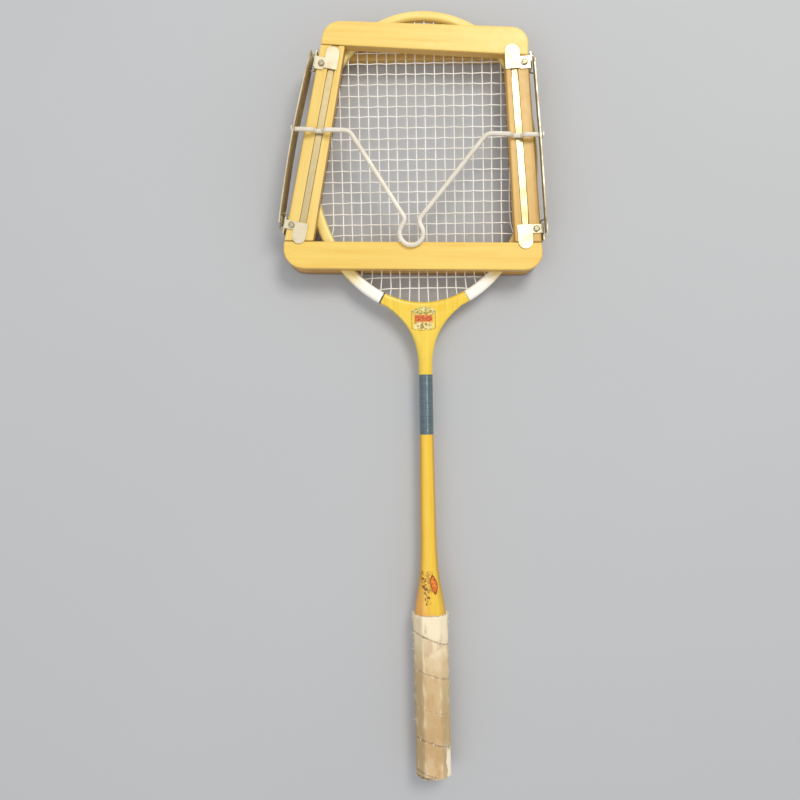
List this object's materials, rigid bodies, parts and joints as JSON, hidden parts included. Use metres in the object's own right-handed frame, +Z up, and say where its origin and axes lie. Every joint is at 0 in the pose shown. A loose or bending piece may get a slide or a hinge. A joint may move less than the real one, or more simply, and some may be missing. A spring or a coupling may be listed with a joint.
{
  "type": "badminton racket in press",
  "caption": "Wooden badminton racket clamped in a trapezoid wooden racket press with a bent wire cam lever, leaf springs, corner brackets and side straps.",
  "frame": {"origin": "middle of the bounding box in plan, at the ground that the press lies on", "axes": "+Y along the racket from butt to head, +Z up from the press's back face, +X to the right when looking down at the face"},
  "size_m": [0.2284, 0.6539, 0.043],
  "materials": {
    "racket_wood": "golden-yellow lacquered ash, glossy",
    "string": "off-white nylon string, satin",
    "whipping": "blue-grey thread under gloss lacquer",
    "grip_leather": "worn cream and tan leather, matt",
    "press_wood": "pale varnished beech, satin",
    "nickel_plate": "worn nickel-plated steel",
    "lever_plating": "dull zinc-plated steel wire"
  },
  "bodies": {
    "press_rear": {"rear_top_rail": "press_wood", "rear_bottom_rail": "press_wood", "rear_left_stile": "press_wood", "rear_right_stile": "press_wood", "rear_bracket_top_left": "nickel_plate", "rear_bracket_top_right": "nickel_plate", "rear_bracket_bottom_left": "nickel_plate", "rear_bracket_bottom_right": "nickel_plate", "rear_screw_top_left": "nickel_plate", "rear_screw_top_right": "nickel_plate", "rear_screw_bottom_left": "nickel_plate", "rear_screw_bottom_right": "nickel_plate", "ring_top_left": "nickel_plate", "ring_top_right": "nickel_plate", "ring_bottom_left": "nickel_plate", "ring_bottom_right": "nickel_plate", "strap_left": "nickel_plate", "strap_right": "nickel_plate"},
    "press_front": {"front_top_rail": "press_wood", "front_bottom_rail": "press_wood", "front_left_stile": "press_wood", "front_right_stile": "press_wood", "leaf_spring_left": "nickel_plate", "leaf_spring_right": "nickel_plate", "front_bracket_top_left": "nickel_plate", "front_bracket_top_right": "nickel_plate", "front_bracket_bottom_left": "nickel_plate", "front_bracket_bottom_right": "nickel_plate", "front_screw_top_left": "nickel_plate", "front_screw_top_right": "nickel_plate", "front_screw_bottom_left": "nickel_plate", "front_screw_bottom_right": "nickel_plate"},
    "lever": {"clamp_lever": "lever_plating", "lever_head_left": "lever_plating", "lever_head_right": "lever_plating"},
    "racket": {"hoop": "racket_wood", "main_strings": "string", "cross_strings": "string", "throat_wedge": "racket_wood", "shaft": "racket_wood", "shaft_whipping": "whipping", "handle_block": "racket_wood", "grip_wrap": "grip_leather"}
  },
  "joints": [
    {"name": "lever_swing", "type": "hinge", "parent": "press_rear", "child": "lever", "pos_m": [0.00396, 0.21673, 0.038], "axis": [-0.9992, 0.0393, 0], "range_deg": [0, 180]},
    {"name": "front_frame_lift", "type": "slide", "parent": "press_rear", "child": "press_front", "axis": [0, 0, 1], "range_m": [0, 0.004]},
    {"name": "racket_slide", "type": "slide", "parent": "press_rear", "child": "racket", "axis": [0, -1, 0], "range_m": [0, 0.24]}
  ],
  "couplings": [
    {"joint": "front_frame_lift", "follows": "lever_swing", "m_per_rad": 0.00127}
  ]
}
